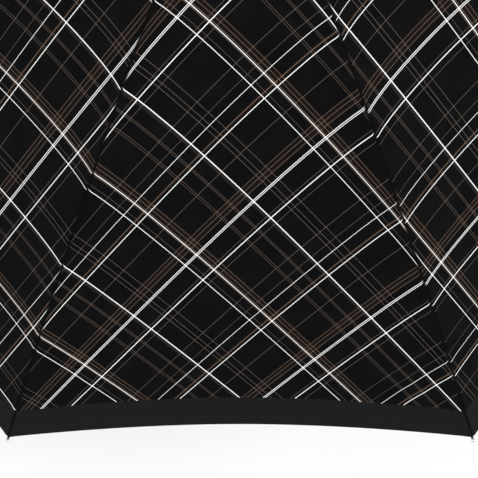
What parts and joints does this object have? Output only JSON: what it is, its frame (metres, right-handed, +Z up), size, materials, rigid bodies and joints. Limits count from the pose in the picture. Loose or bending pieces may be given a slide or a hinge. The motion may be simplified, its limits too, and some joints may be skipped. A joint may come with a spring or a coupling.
{
  "type": "stick umbrella",
  "caption": "Full-length stick umbrella, open, with a crook handle, a sliding runner and a dark canopy woven with a diagonal plaid.",
  "frame": {"origin": "on the shaft's axis, at the lowest point of the crook handle", "axes": "+Z up the shaft towards the ferrule; -Y the front, where gore 8 faces; +X the side that the crook hooks towards"},
  "size_m": [0.9192, 0.9192, 0.8395],
  "materials": {
    "canopy_cloth": "fine plain-weave polyester, near black, with white and brown lines woven on the bias",
    "black_web": "plain black cloth",
    "black_steel": "black baked paint",
    "bright_steel": "nickel plated",
    "black_plastic": "moulded",
    "crook_wood": "stained and lacquered"
  },
  "bodies": {
    "shaft": {"shaft": "black_steel", "shaft_pins": "bright_steel", "ferrule": "black_steel", "top_cap": "bright_steel", "rosette": "black_web", "crown": "black_plastic", "crown_wire": "bright_steel", "handle": "crook_wood", "handle_end": "bright_steel", "collar": "bright_steel"},
    "rib_1": {"rib_1": "black_steel", "gore_1": "canopy_cloth"},
    "rib_end_1": {"rib_end_1": "black_steel", "tip_1": "bright_steel"},
    "stretcher_1": {"stretcher_1": "black_steel"},
    "rib_2": {"rib_2": "black_steel", "gore_2": "canopy_cloth"},
    "rib_end_2": {"rib_end_2": "black_steel", "tip_2": "bright_steel"},
    "stretcher_2": {"stretcher_2": "black_steel"},
    "rib_3": {"rib_3": "black_steel", "gore_3": "canopy_cloth"},
    "rib_end_3": {"rib_end_3": "black_steel", "tip_3": "bright_steel"},
    "stretcher_3": {"stretcher_3": "black_steel"},
    "rib_4": {"rib_4": "black_steel", "gore_4": "canopy_cloth"},
    "rib_end_4": {"rib_end_4": "black_steel", "tip_4": "bright_steel"},
    "stretcher_4": {"stretcher_4": "black_steel"},
    "rib_5": {"rib_5": "black_steel", "gore_5": "canopy_cloth"},
    "rib_end_5": {"rib_end_5": "black_steel", "tip_5": "bright_steel", "tie_strap": "black_web", "strap_button": "black_plastic"},
    "stretcher_5": {"stretcher_5": "black_steel"},
    "rib_6": {"rib_6": "black_steel", "gore_6": "canopy_cloth"},
    "rib_end_6": {"rib_end_6": "black_steel", "tip_6": "bright_steel"},
    "stretcher_6": {"stretcher_6": "black_steel"},
    "rib_7": {"rib_7": "black_steel", "gore_7": "canopy_cloth"},
    "rib_end_7": {"rib_end_7": "black_steel", "tip_7": "bright_steel"},
    "stretcher_7": {"stretcher_7": "black_steel"},
    "rib_8": {"rib_8": "black_steel", "gore_8": "canopy_cloth"},
    "rib_end_8": {"rib_end_8": "black_steel", "tip_8": "bright_steel"},
    "stretcher_8": {"stretcher_8": "black_steel"},
    "runner": {"runner": "black_plastic", "runner_wire": "bright_steel"},
    "top_catch": {"top_catch": "bright_steel"},
    "bottom_catch": {"bottom_catch": "bright_steel"}
  },
  "joints": [
    {"name": "fold", "type": "hinge", "parent": "shaft", "child": "rib_1", "pos_m": [0.00421, -0.01016, 0.75514], "axis": [0.9239, 0.3827, 0], "range_deg": [0, 64.25], "deforming": ["gore_1", "gore_2", "gore_3", "gore_4", "gore_5", "gore_6", "gore_7", "gore_8", "top_catch", "bottom_catch"]},
    {"name": "rib_2_hinge", "type": "hinge", "parent": "shaft", "child": "rib_2", "pos_m": [0.01016, -0.00421, 0.75514], "axis": [0.3827, 0.9239, 0], "range_deg": [0, 64.25]},
    {"name": "rib_3_hinge", "type": "hinge", "parent": "shaft", "child": "rib_3", "pos_m": [0.01016, 0.00421, 0.75514], "axis": [-0.3827, 0.9239, 0], "range_deg": [0, 64.25]},
    {"name": "rib_4_hinge", "type": "hinge", "parent": "shaft", "child": "rib_4", "pos_m": [0.00421, 0.01016, 0.75514], "axis": [-0.9239, 0.3827, 0], "range_deg": [0, 64.25]},
    {"name": "rib_5_hinge", "type": "hinge", "parent": "shaft", "child": "rib_5", "pos_m": [-0.00421, 0.01016, 0.75514], "axis": [-0.9239, -0.3827, 0], "range_deg": [0, 64.25]},
    {"name": "rib_6_hinge", "type": "hinge", "parent": "shaft", "child": "rib_6", "pos_m": [-0.01016, 0.00421, 0.75514], "axis": [-0.3827, -0.9239, 0], "range_deg": [0, 64.25]},
    {"name": "rib_7_hinge", "type": "hinge", "parent": "shaft", "child": "rib_7", "pos_m": [-0.01016, -0.00421, 0.75514], "axis": [0.3827, -0.9239, 0], "range_deg": [0, 64.25]},
    {"name": "rib_8_hinge", "type": "hinge", "parent": "shaft", "child": "rib_8", "pos_m": [-0.00421, -0.01016, 0.75514], "axis": [0.9239, -0.3827, 0], "range_deg": [0, 64.25]},
    {"name": "rib_1_straighten", "type": "hinge", "parent": "rib_1", "child": "rib_end_1", "pos_m": [0.10136, -0.24471, 0.64774], "axis": [0.9239, 0.3827, 0], "range_deg": [-12.55, 0]},
    {"name": "rib_2_straighten", "type": "hinge", "parent": "rib_2", "child": "rib_end_2", "pos_m": [0.24471, -0.10136, 0.64774], "axis": [0.3827, 0.9239, 0], "range_deg": [-12.55, 0]},
    {"name": "rib_3_straighten", "type": "hinge", "parent": "rib_3", "child": "rib_end_3", "pos_m": [0.24471, 0.10136, 0.64774], "axis": [-0.3827, 0.9239, 0], "range_deg": [-12.55, 0]},
    {"name": "rib_4_straighten", "type": "hinge", "parent": "rib_4", "child": "rib_end_4", "pos_m": [0.10136, 0.24471, 0.64774], "axis": [-0.9239, 0.3827, 0], "range_deg": [-12.55, 0]},
    {"name": "rib_5_straighten", "type": "hinge", "parent": "rib_5", "child": "rib_end_5", "pos_m": [-0.10136, 0.24471, 0.64774], "axis": [-0.9239, -0.3827, 0], "range_deg": [-12.55, 0]},
    {"name": "rib_6_straighten", "type": "hinge", "parent": "rib_6", "child": "rib_end_6", "pos_m": [-0.24471, 0.10136, 0.64774], "axis": [-0.3827, -0.9239, 0], "range_deg": [-12.55, 0]},
    {"name": "rib_7_straighten", "type": "hinge", "parent": "rib_7", "child": "rib_end_7", "pos_m": [-0.24471, -0.10136, 0.64774], "axis": [0.3827, -0.9239, 0], "range_deg": [-12.55, 0]},
    {"name": "rib_8_straighten", "type": "hinge", "parent": "rib_8", "child": "rib_end_8", "pos_m": [-0.10136, -0.24471, 0.64774], "axis": [0.9239, -0.3827, 0], "range_deg": [-12.55, 0]},
    {"name": "stretcher_1_hinge", "type": "hinge", "parent": "rib_1", "child": "stretcher_1", "pos_m": [0.10053, -0.2427, 0.64438], "axis": [0.9239, 0.3827, 0], "range_deg": [-128.5, 0]},
    {"name": "stretcher_2_hinge", "type": "hinge", "parent": "rib_2", "child": "stretcher_2", "pos_m": [0.2427, -0.10053, 0.64438], "axis": [0.3827, 0.9239, 0], "range_deg": [-128.5, 0]},
    {"name": "stretcher_3_hinge", "type": "hinge", "parent": "rib_3", "child": "stretcher_3", "pos_m": [0.2427, 0.10053, 0.64438], "axis": [-0.3827, 0.9239, 0], "range_deg": [-128.5, 0]},
    {"name": "stretcher_4_hinge", "type": "hinge", "parent": "rib_4", "child": "stretcher_4", "pos_m": [0.10053, 0.2427, 0.64438], "axis": [-0.9239, 0.3827, 0], "range_deg": [-128.5, 0]},
    {"name": "stretcher_5_hinge", "type": "hinge", "parent": "rib_5", "child": "stretcher_5", "pos_m": [-0.10053, 0.2427, 0.64438], "axis": [-0.9239, -0.3827, 0], "range_deg": [-128.5, 0]},
    {"name": "stretcher_6_hinge", "type": "hinge", "parent": "rib_6", "child": "stretcher_6", "pos_m": [-0.2427, 0.10053, 0.64438], "axis": [-0.3827, -0.9239, 0], "range_deg": [-128.5, 0]},
    {"name": "stretcher_7_hinge", "type": "hinge", "parent": "rib_7", "child": "stretcher_7", "pos_m": [-0.2427, -0.10053, 0.64438], "axis": [0.3827, -0.9239, 0], "range_deg": [-128.5, 0]},
    {"name": "stretcher_8_hinge", "type": "hinge", "parent": "rib_8", "child": "stretcher_8", "pos_m": [-0.10053, -0.2427, 0.64438], "axis": [0.9239, -0.3827, 0], "range_deg": [-128.5, 0]},
    {"name": "runner_hinge", "type": "hinge", "parent": "stretcher_1", "child": "runner", "pos_m": [0.00421, -0.01016, 0.53362], "axis": [0.9239, 0.3827, 0], "range_deg": [0, 64.25]},
    {"name": "top_catch_press", "type": "hinge", "parent": "shaft", "child": "top_catch", "pos_m": [0, 0, 0.45922], "axis": [0, -1, 0], "range_deg": [0, 9.5], "stiffness_Nm_per_rad": 0.03, "springref_deg": -5.73},
    {"name": "bottom_catch_press", "type": "hinge", "parent": "shaft", "child": "bottom_catch", "pos_m": [0, 0, 0.1835], "axis": [0, 1, 0], "range_deg": [0, 9.5], "stiffness_Nm_per_rad": 0.03, "springref_deg": -5.73}
  ],
  "couplings": [
    {"joint": "rib_2_hinge", "follows": "fold", "ratio": 1},
    {"joint": "rib_3_hinge", "follows": "fold", "ratio": 1},
    {"joint": "rib_4_hinge", "follows": "fold", "ratio": 1},
    {"joint": "rib_5_hinge", "follows": "fold", "ratio": 1},
    {"joint": "rib_6_hinge", "follows": "fold", "ratio": 1},
    {"joint": "rib_7_hinge", "follows": "fold", "ratio": 1},
    {"joint": "rib_8_hinge", "follows": "fold", "ratio": 1},
    {"joint": "rib_1_straighten", "follows": "fold", "ratio": -0.19531},
    {"joint": "rib_2_straighten", "follows": "fold", "ratio": -0.19531},
    {"joint": "rib_3_straighten", "follows": "fold", "ratio": -0.19531},
    {"joint": "rib_4_straighten", "follows": "fold", "ratio": -0.19531},
    {"joint": "rib_5_straighten", "follows": "fold", "ratio": -0.19531},
    {"joint": "rib_6_straighten", "follows": "fold", "ratio": -0.19531},
    {"joint": "rib_7_straighten", "follows": "fold", "ratio": -0.19531},
    {"joint": "rib_8_straighten", "follows": "fold", "ratio": -0.19531},
    {"joint": "stretcher_1_hinge", "follows": "fold", "ratio": -2},
    {"joint": "stretcher_2_hinge", "follows": "fold", "ratio": -2},
    {"joint": "stretcher_3_hinge", "follows": "fold", "ratio": -2},
    {"joint": "stretcher_4_hinge", "follows": "fold", "ratio": -2},
    {"joint": "stretcher_5_hinge", "follows": "fold", "ratio": -2},
    {"joint": "stretcher_6_hinge", "follows": "fold", "ratio": -2},
    {"joint": "stretcher_7_hinge", "follows": "fold", "ratio": -2},
    {"joint": "stretcher_8_hinge", "follows": "fold", "ratio": -2},
    {"joint": "runner_hinge", "follows": "fold", "ratio": 1}
  ]
}
